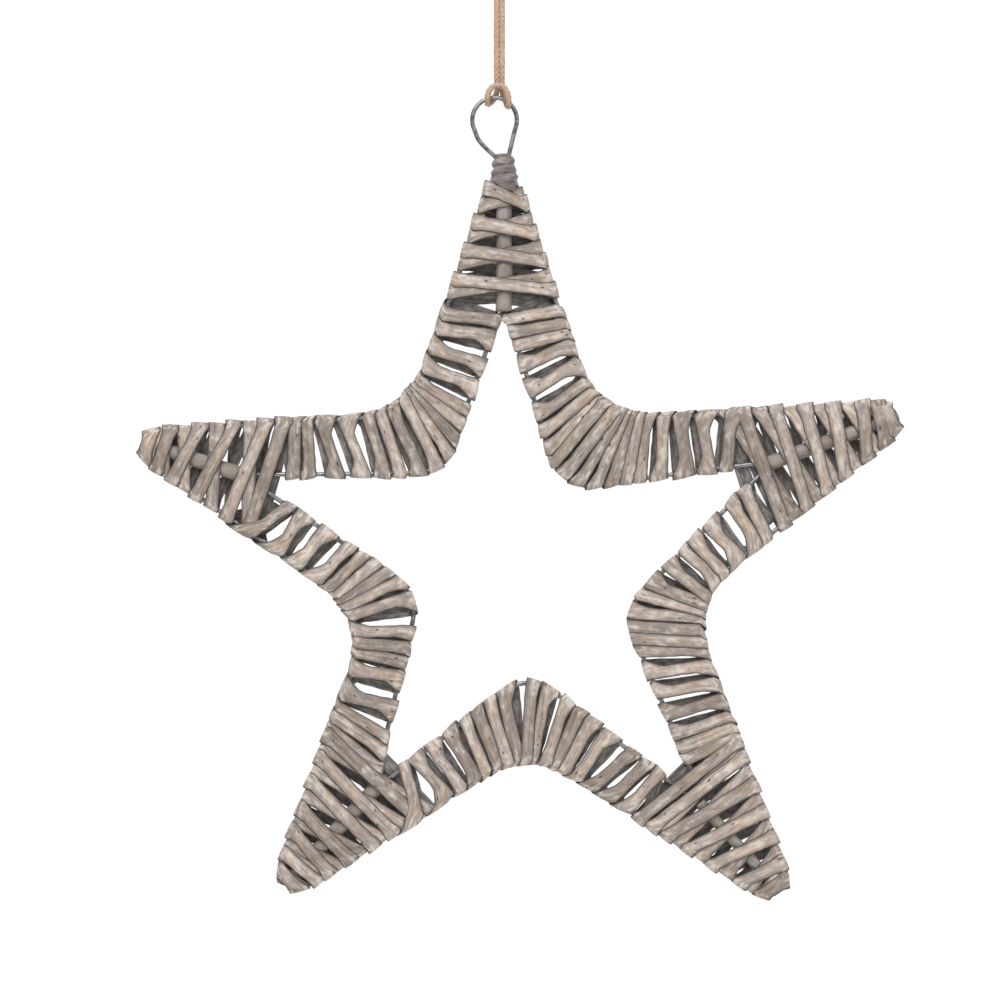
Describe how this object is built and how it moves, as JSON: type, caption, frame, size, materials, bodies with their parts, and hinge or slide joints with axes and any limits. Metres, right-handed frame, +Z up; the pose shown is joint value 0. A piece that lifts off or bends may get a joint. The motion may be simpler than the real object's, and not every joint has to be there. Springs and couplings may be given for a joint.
{
  "type": "wicker star ornament",
  "caption": "Flat star of bent wire wound with split willow strips, with canes in its tips, hung by jute twine from a wire eye.",
  "frame": {"origin": "where the hook bears on the underside of the twine loop's top; the ornament hangs below it", "axes": "+Z up, +X to the right as seen from the front, the star's front towards -Y"},
  "size_m": [0.4057, 0.0143, 0.5105],
  "materials": {
    "willow_strip": "matt, washed grey-brown split willow with a fine lengthwise grain",
    "willow_cane": "matt, grey weathered bark",
    "willow_binding": "matt, dark wound willow fibre",
    "zinc_wire": "dull zinc with bright highlights",
    "jute_twine": "matt, plied and hairy"
  },
  "bodies": {
    "root": {"outer_wire": "zinc_wire", "inner_wire": "zinc_wire", "right_tip_cane": "willow_cane", "top_tip_cane": "willow_cane", "left_tip_cane": "willow_cane", "bottom_left_tip_cane": "willow_cane", "bottom_right_tip_cane": "willow_cane", "right_tip_over_strip": "willow_strip", "top_tip_over_strip": "willow_strip", "left_tip_over_strip": "willow_strip", "bottom_left_tip_over_strip": "willow_strip", "bottom_right_tip_over_strip": "willow_strip", "right_tip_under_strip": "willow_strip", "top_tip_under_strip": "willow_strip", "left_tip_under_strip": "willow_strip", "bottom_left_tip_under_strip": "willow_strip", "bottom_right_tip_under_strip": "willow_strip", "upper_right_leg_winding": "willow_strip", "upper_left_leg_winding": "willow_strip", "lower_left_leg_winding": "willow_strip", "bottom_leg_winding": "willow_strip", "lower_right_leg_winding": "willow_strip", "hanging_eye": "zinc_wire", "top_binding": "willow_binding", "twine": "jute_twine", "twine_knot": "jute_twine"}
  },
  "joints": []
}
